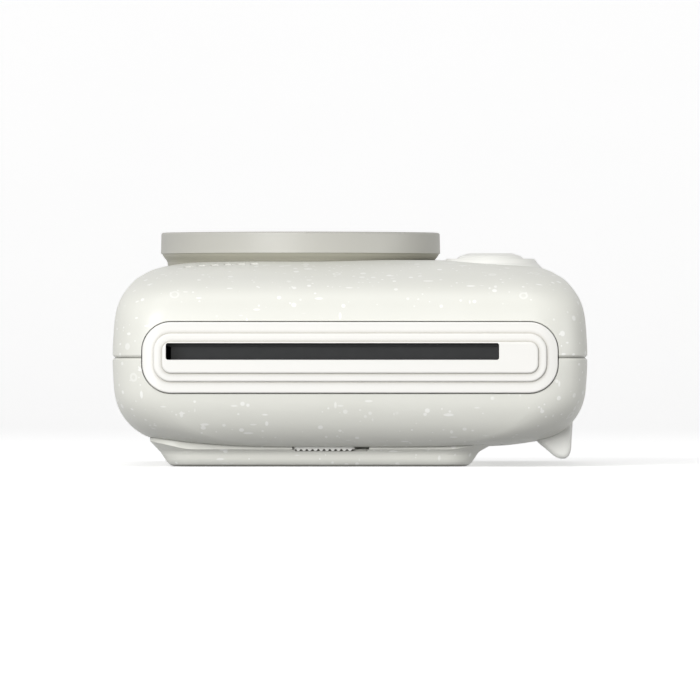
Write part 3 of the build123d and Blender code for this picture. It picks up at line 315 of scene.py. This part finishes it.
# Slot: sRGB colour, roughness, grain size and grain depth in mm, drift of tone, clear coat.
PLASTICS = {
    "lens_disc_grey": ((172, 172, 164), 0.4, 0.2, 0.003, 0.02, 0.0),
    "key_white": ((226, 226, 221), 0.34, 0.25, 0.002, 0.01, 0.0),
    "key_grey": ((196, 196, 188), 0.36, 0.25, 0.002, 0.01, 0.0),
    "black_plastic": ((30, 30, 31), 0.5, 0.2, 0.01, 0.05, 0.0),
    "black_gloss": ((16, 16, 18), 0.16, 0.4, 0.001, 0.05, 0.5),
    "screen_glass": ((9, 9, 11), 0.06, 0.6, 0.0004, 0.05, 1.0),
    "gear_acetal": ((232, 230, 220), 0.4, 0.2, 0.003, 0.02, 0.0),
    "chip_black": ((34, 34, 36), 0.55, 0.15, 0.008, 0.05, 0.0),
    "battery_grey": ((120, 124, 130), 0.3, 0.5, 0.004, 0.05, 0.3),
}

EVEN = (1, 1, 1)
DRAWN_ALONG_X = (0.05, 1, 1)

# Slot: sRGB colour, roughness, stretch of the grain.
METALS = {
    "mirror": ((235, 236, 238), 0.09, EVEN),
    "reflector": ((228, 228, 228), 0.2, EVEN),
    "steel": ((190, 190, 190), 0.3, DRAWN_ALONG_X),
    "screw_steel": ((96, 96, 98), 0.35, EVEN),
    "spring_steel": ((200, 200, 196), 0.3, DRAWN_ALONG_X),
    "motor_can": ((205, 205, 200), 0.3, DRAWN_ALONG_X),
    "bush_brass": ((205, 170, 96), 0.3, DRAWN_ALONG_X),
}


def make_materials():
    """One material for each slot that the record names."""
    made = {
        "shell_white": speckled_plastic(),
        "panel_white": bezel_plastic(),
        "ring_greige": ring_with_painted_neck_shade(),
        "flap_grey": shaded_flap(),
        "clear_glass": clear_glass(),
        "lens_glass": coated_lens(),
        "board_green": board_mask(),
        "foam": foam(),
    }
    for slot, (colour, roughness, grain_mm, grain_depth, tone, coat) in PLASTICS.items():
        made[slot] = moulded(slot, linear(*colour), roughness, grain_mm, grain_depth, tone, coat)
    for slot, (colour, roughness, stretch) in METALS.items():
        made[slot] = brushed_metal(slot, linear(*colour), roughness, stretch)
    return made


def dress_frame(materials):
    """Every carried-over CAD node takes the material of its slot."""
    slots = {row["node"]: row["material_slot"] for row in frame["record"]["subparts"]}
    for name, thing in frame["nodes"].items():
        thing.data.materials.clear()
        thing.data.materials.append(materials[slots[name]])


# ---------------------------------------------------------------- stage, light and camera
def make_camera():
    data = bpy.data.cameras.new("view")
    data.sensor_width = SENSOR
    data.lens = SENSOR * VIEW_DISTANCE / VIEW_WIDTH
    data.clip_end = 50
    camera = bpy.data.objects.new("view", data)
    camera.location = (0, CASING_NEAR_Y - VIEW_DISTANCE, VIEW_HEIGHT)
    camera.rotation_euler = (math.pi / 2, 0, 0)
    bpy.context.scene.collection.objects.link(camera)
    bpy.context.scene.camera = camera


# Name: direction from the object, distance and side in metres, and strength.
SOFTBOXES = {
    "key": ((-0.3, -0.75, 0.22), 1.9, 0.8, 0.84),
    "top_fill": ((-0.1, -0.25, 1.0), 1.8, 1.0, 0.15),
    "right_fill": ((0.97, -0.3, 0.1), 1.6, 0.7, 0.24),
}


def softbox(name, towards, distance, size, strength):
    """A square lamp that adds strength to a white surface at the object facing it."""
    aim = Vector(OBJECT_MIDDLE)
    data = bpy.data.lights.new(name, "AREA")
    data.size = size
    data.energy = strength * math.pi ** 2 * distance ** 2
    lamp = bpy.data.objects.new(name, data)
    lamp.location = aim + Vector(towards).normalized() * distance
    lamp.rotation_euler = (aim - lamp.location).to_track_quat("-Z", "Y").to_euler()
    bpy.context.scene.collection.objects.link(lamp)


def make_lights():
    for name, (towards, distance, size, strength) in SOFTBOXES.items():
        softbox(name, towards, distance, size, strength)
    make_world()


def make_world():
    """Even studio light from all round, weaker from below."""
    world = bpy.data.worlds.new("studio")
    world.use_nodes = True
    tree = world.node_tree
    axes = tree.nodes.new("ShaderNodeSeparateXYZ")
    tree.links.new(tree.nodes.new("ShaderNodeTexCoord").outputs["Generated"], axes.inputs[0])
    ramp = tree.nodes.new("ShaderNodeMapRange")
    ramp.inputs["From Min"].default_value = -1.0
    ramp.inputs["From Max"].default_value = FULL_FILL_AT
    ramp.inputs["To Min"].default_value = WORLD_FILL * FLOOR_SIDE_SHARE
    ramp.inputs["To Max"].default_value = WORLD_FILL
    tree.links.new(axes.outputs["Z"], ramp.inputs["Value"])
    tree.links.new(ramp.outputs[0], tree.nodes["Background"].inputs["Strength"])
    tree.nodes["Background"].inputs["Color"].default_value = (1, 1, 1, 1)
    bpy.context.scene.world = world


def make_floor():
    """A plain pale sweep: a lit floor that curves up behind the object into a backdrop."""
    profile = [(SWEEP_NEAR, 0.0), (SWEEP_FAR - SWEEP_BEND, 0.0)]
    for i in range(1, SWEEP_STEPS + 1):
        a = math.pi / 2 * i / SWEEP_STEPS
        profile.append((SWEEP_FAR - SWEEP_BEND * (1 - math.sin(a)), SWEEP_BEND * (1 - math.cos(a))))
    profile.append((SWEEP_FAR, SWEEP_RISE))
    verts = []
    for y, z in profile:
        verts += [(-SWEEP_HALF_WIDTH, y, z), (SWEEP_HALF_WIDTH, y, z)]
    faces = [(2 * i, 2 * i + 1, 2 * i + 3, 2 * i + 2) for i in range(len(profile) - 1)]
    mesh = bpy.data.meshes.new("sweep")
    mesh.from_pydata(verts, [], faces)
    for face in mesh.polygons:
        face.use_smooth = True
    floor = bpy.data.objects.new("sweep", mesh)
    bpy.context.scene.collection.objects.link(floor)
    paper = Recipe("paper")
    paper.set(Base_Color=paper.mix(paper.noise(40.0), (0.9, 0.9, 0.9, 1), (0.92, 0.92, 0.92, 1)))
    paper.set(Roughness=0.9)
    paper.shader.inputs["Emission Color"].default_value = (1, 1, 1, 1)
    paper.shader.inputs["Emission Strength"].default_value = FLOOR_GLOW
    mesh.materials.append(paper.material)
    floor.visible_diffuse = False


materials = make_materials()
dress_frame(materials)
make_camera()
make_lights()
make_floor()
bpy.context.scene.view_settings.view_transform = "Standard"
